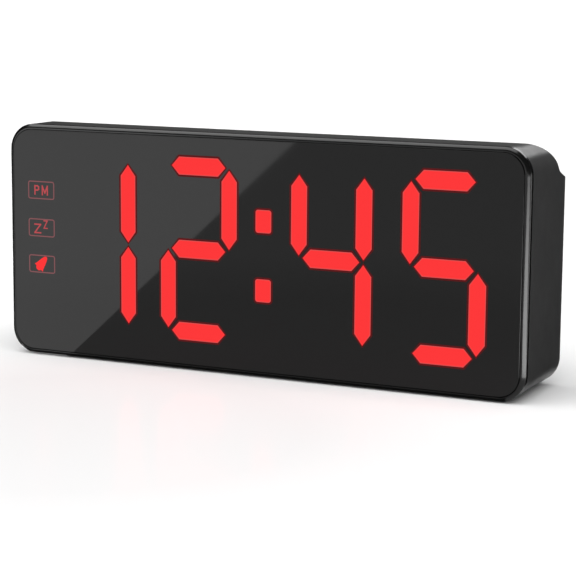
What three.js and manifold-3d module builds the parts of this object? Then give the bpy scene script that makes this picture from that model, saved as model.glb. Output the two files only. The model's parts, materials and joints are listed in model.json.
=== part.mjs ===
// Mains-powered desk alarm clock with a large four-digit segment display.
// Millimetres. +X is the viewer's right, the display faces -Y, and +Z is up.
// Sizes below are measured from the middle of the lens front (X, Y) and from
// the underside of the case (Z); the last lines move the clock onto its feet.

import * as THREE from 'three';
import { mergeVertices } from 'three/addons/utils/BufferGeometryUtils.js';
import Module from 'manifold-3d';

const wasm = await Module();
wasm.setup();

// ---------- driving dimensions ----------

const CASE_WIDTH = 210;
const CASE_HEIGHT = 89.3;
const CASE_DEPTH = 40.5; // lens front to rear face
const CORNER_RADIUS = 9.9; // seen from the front
const WALL = 2.2;
const GAP = 0.3; // between pieces that rest on each other
const ARC_STEPS = 6; // straight steps in a rounded corner
const HIDDEN_STEPS = 3; // the same, inside the case
const SMALL_STEPS = 2; // the same, in small holes

const LENS_PROUD = 0.35; // lens front ahead of the bezel's front rim
const LENS_THICKNESS = 2;
const LENS_INSET = 2; // lens edge to the case's side
const LENS_EDGE = 0.3;
const BEZEL_EDGE = 1.1; // rounding of the bezel's front edge
const SEAM = 3.6; // depth where the bezel meets the rear housing
const TONGUE_END = 12; // bezel wall inside the housing ends here
const LEDGE_INSET = 6.5; // inner edge of the ledge that carries the lens

const BACK_ARC_RADIUS = 18.7; // top-rear curve, seen from the side
const BACK_ARC_START = 16.2;
const BACK_ARC_SWEEP = Math.PI / 3;
const SHELF_FRONT = { y: 35.2, z: 77.9 }; // small shelf below the curve
const SHELF_BACK = { y: 39.4, z: 76.3 };
const SHELF_DIP = { y: 1, z: 0.6 }; // softens the corner between the curve and the shelf
const REAR_EDGE = 1.2;
const HEEL_RADIUS = 3; // bottom-rear edge

const DIGIT_CENTRES = [-65.03, -22.45, 31.22, 74.41];
const DISPLAY_Z = 45.64; // middle of the digits
const SEGMENT_RISE = 31.01; // middle bar to top bar
const SEGMENT_SIDE = 12.71; // digit centre to an upright bar
const UPRIGHT_Z = 15.49; // middle bar to the middle of an upright bar
const UPRIGHT_BAR = { length: 29, width: 6.7 };
const LEVEL_BAR = { length: 22, width: 6.6 };
const BAR_TIP = 3.9; // length of a bar's pointed end
const COLON = { x: 4.26, z: 45.15, rise: 12.77, width: 6.4, height: 8.3, radius: 1.2 };
const ICON = { x: -90.7, width: 11.7, height: 6.9, radius: 0.8, z: [64.15, 49.6, 35.5] };

const MASK_FRONT = 2.6;
const MASK_BACK = 6.4;
const MASK_RIM_BACK = 10.7;
const MASK_RIM = 1.2;
const DISPLAY_FIELD = { left: -91.5, right: 92.3, bottom: 8, top: 82 };
const ICON_FIELD = { left: -98, bottom: 29, top: 68 };
const WINDOW_CLEARANCE = 0.3;
const DIFFUSER_SHEET = 0.8;
const DIGIT_SHEET = { width: 32.4, height: 69.4, radius: 1 };
const COLON_SHEET = { width: 8.4, height: 38, radius: 1 };
const ICON_SHEET = { x: -89.7, z: 49.8, width: 9.2, height: 34, radius: 1 };

const BOARD_THICKNESS = 1.6;
const BOARD_MARGIN = 0.2; // display board drawn in from the mask's outline
const DISPLAY_BOARD_Y = 11;
const LED = { width: 2.8, height: 2.8, depth: 0.8 };
const MAIN_BOARD_Y = 23;
const MAIN_BOARD = { left: -90, right: 88, bottom: 10, top: 72, radius: 1 };
const MAIN_POSTS = [{ x: -76, z: 64 }, { x: 78, z: 54 }];
const BOARD_SCREWS = [{ x: -44.2, z: 15 }, { x: -44.2, z: 76 }, { x: 52.7, z: 15 }, { x: 52.7, z: 76 }];
const BOARD_POST_RADIUS = 3;
const HEADER = { left: -22, right: 10, bottom: 40, top: 45 };
const CHIP = { left: -34, right: -16, bottom: 38, top: 45.5, thickness: 2.4 };
const CRYSTAL = { x: -8, z: 46, width: 11, height: 4.6, radius: 2.2, thickness: 3.5 };
const CAPACITOR = { x: -80, z: 42, radius: 4, length: 10 };

const POST_X = 95.8;
const POST_Z = [18, 72];
const POST_RADIUS = 3.1;
const POST_END = 31;
const SCREW = { shank: 1.1, pilot: 1.25, clear: 1.5, head: 2.7, headDepth: 2 };
const SCREW_RECESS = 4; // depth of the case screws' seats below the rear face
const SCREW_CROSS = { length: 3, width: 0.7, depth: 0.9 };
const SCREW_LENGTHS = { case: 12, display: 5, board: 8 };

const BUTTON_PROUD = 0.8;
const BUTTON = { width: 10, height: 6, radius: 2.4, z: 62, stem: 3 };
const BUTTON_CENTRES = { time: -48, alarm: -30, up: -12, down: 6 };
const BUTTON_GAP = 0.4;
const FLANGE = { reach: 1.3, thickness: 1.2 }; // keeps a button from falling out
const SNOOZE = { halfWidth: 34.6, front: 21.9, back: 30.1, bottom: 80.2, proud: 0.4 };
const SNOOZE_EAR = { length: 3, depth: 3.2, thickness: 1.6 };
const ALARM_KNOB = { x: 34, z: 62, width: 4, height: 3.4, travel: 4, proud: 0.7 };
const DIMMER = { x: 62, z: 62, radius: 8, width: 3, bore: 1.6, ribs: 18, ribDepth: 0.4, slot: 14 };
const PRESS_ROOM = 1.3; // from a button's stem to its switch's plunger
const TACT = { size: 6, thickness: 3.5, plunger: 1.7, plungerEnd: 5.2 };
const SNOOZE_SWITCH = { size: 6, thickness: 4.4, bottom: 70.5, top: 77.5, plungerTop: 78.9 };
const SLIDE_SWITCH = { length: 16, height: 6, thickness: 5 };

const SOCKET_RECESS = 0.4; // mouths of the sockets below the rear face
const JACK = { x: -80, z: 22, radius: 4.5, bore: 2.9, depth: 9.6, pin: 1, foot: 6, footDrop: 1 };
const USB = { centres: [-61, -41], z: 22, width: 13.1, height: 5.7, sheet: 0.4, depth: 12 };
const USB_TONGUE = { width: 11, bottom: 22.1, top: 23.9 };
const SPEAKER = { x: 70, z: 28, radius: 14, depth: 8.4 };
const GRILLE = { slots: 7, pitch: 3.2, width: 1.3, margin: 2 };
const CELL = { x: 12, z: 29, radius: 10, thickness: 3.2, room: 0.4, cup: 1.8, depth: 4.1, below: 5.8 };
const DOOR = { width: 26, height: 26, thickness: 1.2, radius: 2.5, ledge: 1.5, plug: 2 };
const DOOR_GRIP = { width: 9, height: 1.4, radius: 0.6, depth: 0.6, drop: 4 };

const FOOT = { radius: 5, thickness: 1.5, drop: 0.4, x: 85, y: [12, 32] };

const INNER_WALL = CASE_DEPTH - WALL; // inner face of the rear wall
const ON_MAIN_BOARD = MAIN_BOARD_Y + BOARD_THICKNESS + GAP;
const DIMMER_Y = CASE_DEPTH + BUTTON_PROUD - DIMMER.radius;
const ARC_Z = CASE_HEIGHT - BACK_ARC_RADIUS;
const OVERSHOOT = 1; // how far a cutter runs past the faces that it cuts
const EMBED = 0.5; // how far a joined piece reaches into the one that holds it

// ---------- materials ----------

function paint(color, roughness, metalness = 0) {
  return new THREE.MeshStandardMaterial({ color, roughness, metalness });
}

const MATERIALS = {
  bezel: paint(0x1c1c1d, 0.22),
  lens: paint(0x060606, 0.04),
  housing: paint(0x222223, 0.42),
  mask: paint(0x101010, 0.7),
  diffuser: paint(0xd8282a, 0.5),
  board: paint(0x1d5a34, 0.5),
  chip: paint(0x18181a, 0.6),
  steel: paint(0xb8babd, 0.3, 1),
  button: paint(0x2a2a2b, 0.5),
  rubber: paint(0x161616, 0.9),
};

// ---------- solids ----------

function toSolid(geometry) {
  const bare = geometry.index ? geometry.toNonIndexed() : geometry.clone();
  bare.deleteAttribute('normal');
  bare.deleteAttribute('uv');
  const merged = mergeVertices(bare, 1e-4);
  return new wasm.Manifold(new wasm.Mesh({
    numProp: 3,
    vertProperties: new Float32Array(merged.attributes.position.array),
    triVerts: new Uint32Array(merged.index.array),
  }));
}

function toGeometry(solid) {
  const mesh = solid.getMesh();
  const geometry = new THREE.BufferGeometry();
  geometry.setAttribute('position', new THREE.BufferAttribute(mesh.vertProperties, 3));
  geometry.setIndex(new THREE.BufferAttribute(mesh.triVerts, 1));
  return geometry;
}

function join(first, ...others) {
  return toGeometry(others.reduce((sum, item) => sum.add(toSolid(item)), toSolid(first)));
}

function cut(first, ...others) {
  return toGeometry(others.reduce((rest, item) => rest.subtract(toSolid(item)), toSolid(first)));
}

function common(first, second) {
  return toGeometry(toSolid(first).intersect(toSolid(second)));
}

// An outline drawn in X and Z, made solid from front to back.
function slabY(outline, front, back, steps = ARC_STEPS) {
  const geometry = new THREE.ExtrudeGeometry(outline, {
    depth: back - front, bevelEnabled: false, curveSegments: steps,
  });
  geometry.rotateX(Math.PI / 2);
  return geometry.translate(0, back, 0);
}

// An outline drawn in Y and Z, made solid from left to right.
function slabX(outline, left, right, steps = ARC_STEPS) {
  const geometry = new THREE.ExtrudeGeometry(outline, {
    depth: right - left, bevelEnabled: false, curveSegments: steps,
  });
  const turn = new THREE.Matrix4().makeBasis(
    new THREE.Vector3(0, 1, 0), new THREE.Vector3(0, 0, 1), new THREE.Vector3(1, 0, 0));
  geometry.applyMatrix4(turn);
  return geometry.translate(left, 0, 0);
}

function block(x0, x1, y0, y1, z0, z1) {
  const geometry = new THREE.BoxGeometry(x1 - x0, y1 - y0, z1 - z0);
  return geometry.translate((x0 + x1) / 2, (y0 + y1) / 2, (z0 + z1) / 2);
}

function rodY(x, z, radius, front, back, sides = 16) {
  const geometry = new THREE.CylinderGeometry(radius, radius, back - front, sides);
  return geometry.translate(x, (front + back) / 2, z);
}

function rodZ(x, y, radius, bottom, top, sides = 16) {
  const geometry = new THREE.CylinderGeometry(radius, radius, top - bottom, sides);
  geometry.rotateX(Math.PI / 2);
  return geometry.translate(x, y, (bottom + top) / 2);
}

// ---------- outlines ----------

function roundedOutline(left, right, bottom, top, radius) {
  const quarter = Math.PI / 2;
  const outline = new THREE.Shape();
  outline.moveTo(left + radius, bottom);
  outline.lineTo(right - radius, bottom);
  outline.absarc(right - radius, bottom + radius, radius, -quarter, 0);
  outline.absarc(right - radius, top - radius, radius, 0, quarter);
  outline.absarc(left + radius, top - radius, radius, quarter, 2 * quarter);
  outline.absarc(left + radius, bottom + radius, radius, 2 * quarter, 3 * quarter);
  return outline;
}

function centredOutline(x, z, width, height, radius) {
  return roundedOutline(x - width / 2, x + width / 2, z - height / 2, z + height / 2, radius);
}

// The case's front outline, drawn in by inset all round.
function caseOutline(inset) {
  const half = CASE_WIDTH / 2 - inset;
  return roundedOutline(-half, half, inset, CASE_HEIGHT - inset, CORNER_RADIUS - inset);
}

// The case's side outline, drawn in by inset from the rear, top and bottom.
function sideOutline(inset) {
  const radius = BACK_ARC_RADIUS - inset;
  const endAngle = Math.PI / 2 - BACK_ARC_SWEEP;
  const rear = CASE_DEPTH - inset;
  const heel = HEEL_RADIUS - inset / 2;
  const curveEnd = {
    y: BACK_ARC_START + radius * Math.cos(endAngle),
    z: ARC_Z + radius * Math.sin(endAngle),
  };
  const outline = new THREE.Shape();
  outline.moveTo(-inset, inset);
  outline.lineTo(rear - heel, inset);
  outline.absarc(rear - heel, inset + heel, heel, -Math.PI / 2, 0);
  outline.lineTo(rear, SHELF_BACK.z - REAR_EDGE - inset);
  outline.quadraticCurveTo(rear, SHELF_BACK.z - inset, SHELF_BACK.y - inset, SHELF_BACK.z - inset);
  outline.lineTo(SHELF_FRONT.y - inset, SHELF_FRONT.z - inset);
  const dip = { y: curveEnd.y + SHELF_DIP.y, z: SHELF_FRONT.z + SHELF_DIP.z - inset };
  outline.quadraticCurveTo(dip.y, dip.z, curveEnd.y, curveEnd.z);
  outline.absarc(BACK_ARC_START, ARC_Z, radius, endAngle, Math.PI / 2);
  outline.lineTo(-inset, CASE_HEIGHT - inset);
  return outline;
}

// One bar of a digit: a slim hexagon with pointed ends.
function barOutline(x, z, bar, upright, grow = 0) {
  const along = bar.length / 2 + grow * 1.5;
  const across = bar.width / 2 + grow;
  const corner = along - BAR_TIP - grow / 2;
  const points = [
    [along, 0], [corner, across], [-corner, across],
    [-along, 0], [-corner, -across], [corner, -across],
  ];
  return new THREE.Shape(points.map(([a, b]) => (
    upright ? new THREE.Vector2(x - b, z + a) : new THREE.Vector2(x + a, z + b))));
}

// The seven bars of a digit, in the usual order a to g.
function digitBars(x) {
  const level = (rise) => ({ x, z: DISPLAY_Z + rise, bar: LEVEL_BAR, upright: false });
  const upright = (side, rise) => ({
    x: x + side * SEGMENT_SIDE, z: DISPLAY_Z + rise * UPRIGHT_Z, bar: UPRIGHT_BAR, upright: true,
  });
  return [
    level(SEGMENT_RISE), upright(1, 1), upright(1, -1), level(-SEGMENT_RISE),
    upright(-1, -1), upright(-1, 1), level(0),
  ];
}

function displayOutline(inset) {
  const field = DISPLAY_FIELD;
  const left = ICON_FIELD.left + inset;
  const step = field.left + inset;
  const points = [
    [step, field.bottom + inset], [field.right - inset, field.bottom + inset],
    [field.right - inset, field.top - inset], [step, field.top - inset],
    [step, ICON_FIELD.top - inset], [left, ICON_FIELD.top - inset],
    [left, ICON_FIELD.bottom + inset], [step, ICON_FIELD.bottom + inset],
  ];
  return new THREE.Shape(points.map(([x, z]) => new THREE.Vector2(x, z)));
}

// ---------- case ----------

function atCornerPosts(make) {
  return [-POST_X, POST_X].flatMap((x) => POST_Z.map((z) => make(x, z)));
}

function frontBezel() {
  const rim = new THREE.ExtrudeGeometry(caseOutline(BEZEL_EDGE), {
    depth: CASE_DEPTH, bevelThickness: BEZEL_EDGE, bevelSize: BEZEL_EDGE,
    bevelSegments: 2, curveSegments: ARC_STEPS,
  });
  rim.rotateX(Math.PI / 2);
  rim.translate(0, LENS_PROUD + BEZEL_EDGE + CASE_DEPTH, 0);
  const keep = block(-CASE_WIDTH, CASE_WIDTH, 0, SEAM, -OVERSHOOT, CASE_HEIGHT + OVERSHOOT);
  const tongue = slabY(caseOutline(WALL + GAP), SEAM - OVERSHOOT, TONGUE_END, HIDDEN_STEPS);
  const opening = slabY(
    caseOutline(LEDGE_INSET), -OVERSHOOT, TONGUE_END + OVERSHOOT, HIDDEN_STEPS);
  const pocket = slabY(caseOutline(LENS_INSET - GAP), -OVERSHOOT, LENS_THICKNESS + GAP);
  const ring = cut(join(common(rim, keep), tongue), opening, pocket);
  const posts = atCornerPosts((x, z) => rodY(x, z, POST_RADIUS, SEAM, POST_END, 12));
  const pilots = atCornerPosts((x, z) => (
    rodY(x, z, SCREW.pilot, POST_END - SCREW_LENGTHS.case, POST_END + OVERSHOOT, 10)));
  return cut(join(ring, ...posts), ...pilots);
}

function frontLens() {
  const lens = new THREE.ExtrudeGeometry(caseOutline(LENS_INSET + LENS_EDGE), {
    depth: LENS_THICKNESS - 2 * LENS_EDGE, bevelThickness: LENS_EDGE, bevelSize: LENS_EDGE,
    bevelSegments: 1, curveSegments: ARC_STEPS,
  });
  lens.rotateX(Math.PI / 2);
  return lens.translate(0, LENS_THICKNESS - LENS_EDGE, 0);
}

function housingShell() {
  const outside = common(
    slabY(caseOutline(0), SEAM + GAP, CASE_DEPTH),
    slabX(sideOutline(0), -CASE_WIDTH, CASE_WIDTH));
  const inside = common(
    slabY(caseOutline(WALL), SEAM, INNER_WALL, HIDDEN_STEPS),
    slabX(sideOutline(WALL), -CASE_WIDTH, CASE_WIDTH, HIDDEN_STEPS));
  return cut(outside, inside);
}

// A tube round each case screw, open to the rear and narrow at its seat.
function screwTube(x, z) {
  const wall = 1.3;
  return rodY(x, z, SCREW.head + wall, POST_END + GAP, INNER_WALL + EMBED, 12);
}

function screwBore(x, z) {
  const seat = CASE_DEPTH - SCREW_RECESS;
  return join(
    rodY(x, z, SCREW.head + EMBED, seat, CASE_DEPTH + OVERSHOOT, 16),
    rodY(x, z, SCREW.clear, POST_END - OVERSHOOT, seat + OVERSHOOT, 10));
}

// A cutter through the rear wall.
function rearHole(outline, steps) {
  return slabY(outline, INNER_WALL - OVERSHOOT, CASE_DEPTH + OVERSHOOT, steps);
}

function controlHoles() {
  const room = 2 * BUTTON_GAP;
  const buttons = Object.values(BUTTON_CENTRES).map((x) => rearHole(
    centredOutline(x, BUTTON.z, BUTTON.width + room, BUTTON.height + room,
      BUTTON.radius + BUTTON_GAP), HIDDEN_STEPS));
  const knob = rearHole(centredOutline(
    ALARM_KNOB.x + ALARM_KNOB.travel / 2, ALARM_KNOB.z,
    ALARM_KNOB.width + ALARM_KNOB.travel + room, ALARM_KNOB.height + room, BUTTON_GAP), 1);
  const dial = rearHole(centredOutline(
    DIMMER.x, DIMMER.z, DIMMER.slot, DIMMER.width + room, BUTTON_GAP), 1);
  return [...buttons, knob, dial];
}

function socketHoles() {
  const room = 2 * BUTTON_GAP;
  const jack = rodY(
    JACK.x, JACK.z, JACK.radius + BUTTON_GAP, INNER_WALL - OVERSHOOT, CASE_DEPTH + OVERSHOOT);
  const ports = USB.centres.map((x) => rearHole(
    centredOutline(x, USB.z, USB.width + room, USB.height + room, room), SMALL_STEPS));
  return [jack, ...ports];
}

function grilleSlots() {
  const slots = [];
  for (let slot = 0; slot < GRILLE.slots; slot += 1) {
    const offset = (slot - (GRILLE.slots - 1) / 2) * GRILLE.pitch;
    const reach = Math.sqrt((SPEAKER.radius - GRILLE.margin) ** 2 - offset ** 2);
    const outline = centredOutline(
      SPEAKER.x, SPEAKER.z + offset, 2 * reach, GRILLE.width, GRILLE.width * 0.49);
    slots.push(rearHole(outline, SMALL_STEPS));
  }
  return slots;
}

// The recess that the battery door sits in, and the way through it to the cell.
function doorHoles() {
  const room = 2 * GAP;
  const ledge = 2 * DOOR.ledge;
  const recess = slabY(
    centredOutline(CELL.x, CELL.z, DOOR.width + room, DOOR.height + room, DOOR.radius + GAP),
    CASE_DEPTH - DOOR.thickness - GAP, CASE_DEPTH + OVERSHOOT, HIDDEN_STEPS);
  const way = rearHole(
    centredOutline(CELL.x, CELL.z, DOOR.width - ledge, DOOR.height - ledge, DOOR.radius),
    SMALL_STEPS);
  return [recess, way];
}

function footPockets() {
  const depth = FOOT.thickness - FOOT.drop + GAP / 2;
  return [-FOOT.x, FOOT.x].flatMap((x) => (
    FOOT.y.map((y) => rodZ(x, y, FOOT.radius + GAP, -OVERSHOOT, depth))));
}

function rearHousing() {
  const boardPostEnd = MAIN_BOARD_Y + BOARD_THICKNESS + GAP;
  const boardPosts = MAIN_POSTS.map(({ x, z }) => (
    rodY(x, z, POST_RADIUS, boardPostEnd, INNER_WALL + EMBED, 12)));
  const boardPilots = MAIN_POSTS.map(({ x, z }) => (
    rodY(x, z, SCREW.pilot, boardPostEnd - OVERSHOOT, boardPostEnd + SCREW_LENGTHS.board + 1, 10)));
  const snoozeHole = block(
    -SNOOZE.halfWidth - BUTTON_GAP, SNOOZE.halfWidth + BUTTON_GAP,
    SNOOZE.front - BUTTON_GAP, SNOOZE.back + BUTTON_GAP,
    MAIN_BOARD.top, CASE_HEIGHT + OVERSHOOT);
  const shell = join(housingShell(), ...atCornerPosts(screwTube), ...boardPosts);
  return cut(
    shell, ...atCornerPosts(screwBore), ...boardPilots, ...controlHoles(), ...socketHoles(),
    ...grilleSlots(), ...doorHoles(), snoozeHole, ...footPockets());
}

// ---------- display ----------

function colonHeights() {
  return [COLON.z + COLON.rise, COLON.z - COLON.rise];
}

// The outlines of everything that lights up, each grown by the same amount.
function lightOutlines(grow) {
  const bars = DIGIT_CENTRES.flatMap((x) => digitBars(x)).map((bar) => (
    barOutline(bar.x, bar.z, bar.bar, bar.upright, grow)));
  const dots = colonHeights().map((z) => centredOutline(
    COLON.x, z, COLON.width + 2 * grow, COLON.height + 2 * grow, COLON.radius));
  const icons = ICON.z.map((z) => centredOutline(
    ICON.x, z, ICON.width + 2 * grow, ICON.height + 2 * grow, ICON.radius));
  return [...bars, ...dots, ...icons];
}

function lightMask() {
  const plate = slabY(displayOutline(0), MASK_FRONT, MASK_BACK);
  const rim = cut(
    slabY(displayOutline(0), MASK_BACK - OVERSHOOT, MASK_RIM_BACK),
    slabY(displayOutline(MASK_RIM), MASK_BACK - 2 * OVERSHOOT, MASK_RIM_BACK + OVERSHOOT));
  const posts = BOARD_SCREWS.map(({ x, z }) => (
    rodY(x, z, BOARD_POST_RADIUS, MASK_BACK - OVERSHOOT, MASK_RIM_BACK)));
  const pilots = BOARD_SCREWS.map(({ x, z }) => (
    rodY(x, z, SCREW.pilot, MASK_BACK, MASK_RIM_BACK + OVERSHOOT, 12)));
  const windows = lightOutlines(WINDOW_CLEARANCE).map((outline) => (
    slabY(outline, MASK_FRONT - OVERSHOOT, MASK_BACK + OVERSHOOT, SMALL_STEPS)));
  return cut(join(plate, rim, ...posts), ...windows, ...pilots);
}

// A thin sheet behind the mask with one raised light block for each window.
function diffuser(outlines, sheet) {
  const sheetFront = MASK_BACK + GAP;
  const blocks = outlines.map((outline) => (
    slabY(outline, MASK_FRONT + GAP / 2, sheetFront + DIFFUSER_SHEET / 2, SMALL_STEPS)));
  return join(slabY(sheet, sheetFront, sheetFront + DIFFUSER_SHEET, 1), ...blocks);
}

function digitDiffuser(x) {
  const { width, height, radius } = DIGIT_SHEET;
  const outlines = digitBars(x).map((bar) => barOutline(bar.x, bar.z, bar.bar, bar.upright));
  return diffuser(outlines, centredOutline(x, DISPLAY_Z, width, height, radius));
}

function colonDiffuser() {
  const { width, height, radius } = COLON_SHEET;
  const outlines = colonHeights().map((z) => (
    centredOutline(COLON.x, z, COLON.width, COLON.height, COLON.radius)));
  return diffuser(outlines, centredOutline(COLON.x, COLON.z, width, height, radius));
}

function iconDiffuser() {
  const { x, z, width, height, radius } = ICON_SHEET;
  const outlines = ICON.z.map((middle) => (
    centredOutline(ICON.x, middle, ICON.width, ICON.height, ICON.radius)));
  return diffuser(outlines, centredOutline(x, z, width, height, radius));
}

// ---------- boards and electronics ----------

function displayBoard() {
  const back = DISPLAY_BOARD_Y + BOARD_THICKNESS;
  const board = slabY(displayOutline(BOARD_MARGIN), DISPLAY_BOARD_Y, back);
  const places = [
    ...DIGIT_CENTRES.flatMap((x) => digitBars(x)),
    ...colonHeights().map((z) => ({ x: COLON.x, z })),
    ...ICON.z.map((z) => ({ x: ICON.x, z })),
  ];
  const chips = places.map(({ x, z }) => block(
    x - LED.width / 2, x + LED.width / 2, DISPLAY_BOARD_Y - LED.depth, DISPLAY_BOARD_Y + EMBED,
    z - LED.height / 2, z + LED.height / 2));
  const holes = BOARD_SCREWS.map(({ x, z }) => (
    rodY(x, z, SCREW.clear, DISPLAY_BOARD_Y - OVERSHOOT, back + OVERSHOOT, 12)));
  return cut(join(board, ...chips), ...holes);
}

function mainBoard() {
  const { left, right, bottom, top, radius } = MAIN_BOARD;
  const back = MAIN_BOARD_Y + BOARD_THICKNESS;
  const outline = roundedOutline(left, right, bottom, top, radius);
  const holes = MAIN_POSTS.map(({ x, z }) => (
    rodY(x, z, SCREW.clear, MAIN_BOARD_Y - OVERSHOOT, back + OVERSHOOT, 12)));
  return cut(slabY(outline, MAIN_BOARD_Y, back, SMALL_STEPS), ...holes);
}

function boardHeader() {
  const { left, right, bottom, top } = HEADER;
  const front = DISPLAY_BOARD_Y + BOARD_THICKNESS + GAP;
  return block(left, right, front, MAIN_BOARD_Y - GAP, bottom, top);
}

function clockChip() {
  const { left, right, bottom, top, thickness } = CHIP;
  return block(left, right, ON_MAIN_BOARD, ON_MAIN_BOARD + thickness, bottom, top);
}

function crystalCan() {
  const { x, z, width, height, radius, thickness } = CRYSTAL;
  const outline = centredOutline(x, z, width, height, radius);
  return slabY(outline, ON_MAIN_BOARD, ON_MAIN_BOARD + thickness, 4);
}

function smoothingCapacitor() {
  const { x, z, radius, length } = CAPACITOR;
  return rodY(x, z, radius, ON_MAIN_BOARD, ON_MAIN_BOARD + length);
}

// A round socket with its centre pin, standing on a square foot.
function powerJack() {
  const { x, z, radius, bore, depth, pin, foot: footDepth, footDrop } = JACK;
  const mouth = CASE_DEPTH - SOCKET_RECESS;
  const base = block(
    x - radius, x + radius, ON_MAIN_BOARD, ON_MAIN_BOARD + footDepth,
    z - radius - footDrop, z + radius);
  const barrel = rodY(x, z, radius, ON_MAIN_BOARD + footDepth - 2, mouth);
  const hollow = rodY(x, z, bore, mouth - depth, mouth + OVERSHOOT);
  const contact = rodY(x, z, pin, mouth - depth - OVERSHOOT, mouth - 1.6, 12);
  return join(cut(join(base, barrel), hollow), contact);
}

function usbPort(x) {
  const { z, width, height, sheet, depth } = USB;
  const mouth = CASE_DEPTH - SOCKET_RECESS;
  const outer = centredOutline(x, z, width, height, 1.5 * sheet);
  const inner = centredOutline(x, z, width - 2 * sheet, height - 2 * sheet, 0.75 * sheet);
  const shell = cut(
    slabY(outer, ON_MAIN_BOARD, mouth, HIDDEN_STEPS),
    slabY(inner, mouth - depth, mouth + OVERSHOOT, SMALL_STEPS));
  const tongue = block(
    x - USB_TONGUE.width / 2, x + USB_TONGUE.width / 2, mouth - depth - OVERSHOOT,
    mouth - OVERSHOOT, USB_TONGUE.bottom, USB_TONGUE.top);
  return join(shell, tongue);
}

// A round loudspeaker, turned about its own axis: magnet in front, cone behind.
function loudspeaker() {
  const { x, z, radius, depth } = SPEAKER;
  const magnet = { radius: 6.5, depth: 3.2 };
  const basket = { radius: 8.5, start: 3.6, end: 7.2, rim: 1.2 };
  const cone = { mouth: 2.2, cap: 5, capStart: 5.6, dome: 3.5, domeRise: 6.6, top: 7.4 };
  const profile = [
    [0, 0], [magnet.radius, 0], [magnet.radius, magnet.depth],
    [basket.radius, basket.start], [radius - basket.rim, basket.end], [radius, basket.end],
    [radius, depth], [radius - cone.mouth, depth],
    [cone.cap, cone.capStart], [cone.dome, cone.domeRise], [0, cone.top],
  ].map(([out, along]) => new THREE.Vector2(out, along));
  return new THREE.LatheGeometry(profile, 20).translate(x, INNER_WALL - GAP - depth, z);
}

function tactSwitch(x, z) {
  const half = TACT.size / 2;
  const top = ON_MAIN_BOARD + TACT.thickness;
  const body = block(x - half, x + half, ON_MAIN_BOARD, top, z - half, z + half);
  const plunger = rodY(x, z, TACT.plunger, top - EMBED, ON_MAIN_BOARD + TACT.plungerEnd, 12);
  return join(body, plunger);
}

function snoozeSwitch() {
  const { size, thickness, bottom, top, plungerTop } = SNOOZE_SWITCH;
  const middleY = ON_MAIN_BOARD + thickness / 2;
  const body = block(-size / 2, size / 2, ON_MAIN_BOARD, ON_MAIN_BOARD + thickness, bottom, top);
  return join(body, rodZ(0, middleY, TACT.plunger, top - EMBED, plungerTop, 12));
}

function slideSwitch() {
  const { length, height, thickness } = SLIDE_SWITCH;
  const { x, z, travel } = ALARM_KNOB;
  const middle = x + travel / 2;
  return block(
    middle - length / 2, middle + length / 2, ON_MAIN_BOARD, ON_MAIN_BOARD + thickness,
    z - height / 2, z + height / 2);
}

// The potentiometer below the dimmer dial, with the pin that the dial turns on.
function dimmerPot() {
  const { x, z, width, bore } = DIMMER;
  const body = { halfWidth: 5, reach: 3, thickness: 4 };
  const top = z - width / 2 - GAP;
  const base = block(
    x - body.halfWidth, x + body.halfWidth, ON_MAIN_BOARD, DIMMER_Y + body.reach,
    top - body.thickness, top);
  return join(base, rodZ(x, DIMMER_Y, bore - 0.1, top - OVERSHOOT, z + width / 2 + 0.6));
}

function cellHolder() {
  const { x, z, radius, room, cup, depth } = CELL;
  const mouth = INNER_WALL - GAP - 1.9;
  return cut(
    rodY(x, z, radius + cup, ON_MAIN_BOARD, mouth, 24),
    rodY(x, z, radius + room, mouth - depth, mouth + OVERSHOOT, 24));
}

function coinCell() {
  const front = INNER_WALL - GAP - CELL.below;
  return rodY(CELL.x, CELL.z, CELL.radius, front, front + CELL.thickness, 24);
}

// ---------- controls ----------

// A button's cap, the flange behind the wall that holds it in, and its stem.
function pushButton(x) {
  const { width, height, radius, z, stem } = BUTTON;
  const flangeBack = INNER_WALL - EMBED;
  const flangeFront = flangeBack - FLANGE.thickness;
  const cap = slabY(
    centredOutline(x, z, width, height, radius), flangeFront + EMBED, CASE_DEPTH + BUTTON_PROUD, 4);
  const flange = block(
    x - width / 2 - FLANGE.reach, x + width / 2 + FLANGE.reach, flangeFront, flangeBack,
    z - height / 2 - FLANGE.reach, z + height / 2 + FLANGE.reach);
  const rod = block(
    x - stem / 2, x + stem / 2, ON_MAIN_BOARD + TACT.plungerEnd + PRESS_ROOM, flangeFront + EMBED,
    z - stem / 2, z + stem / 2);
  return join(cap, flange, rod);
}

// The bar's top follows the case's curve and stands a little proud of it.
function snoozeBar() {
  const { halfWidth, front, back, bottom, proud } = SNOOZE;
  const radius = BACK_ARC_RADIUS + proud;
  const angleAt = (y) => Math.acos((y - BACK_ARC_START) / radius);
  const outline = new THREE.Shape();
  outline.moveTo(front, bottom);
  outline.lineTo(back, bottom);
  outline.absarc(BACK_ARC_START, ARC_Z, radius, angleAt(back), angleAt(front));
  const ears = block(
    -halfWidth - SNOOZE_EAR.length, halfWidth + SNOOZE_EAR.length,
    front + BUTTON_GAP / 2, front + BUTTON_GAP / 2 + SNOOZE_EAR.depth,
    bottom, bottom + SNOOZE_EAR.thickness);
  return join(slabX(outline, -halfWidth, halfWidth), ears);
}

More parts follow.
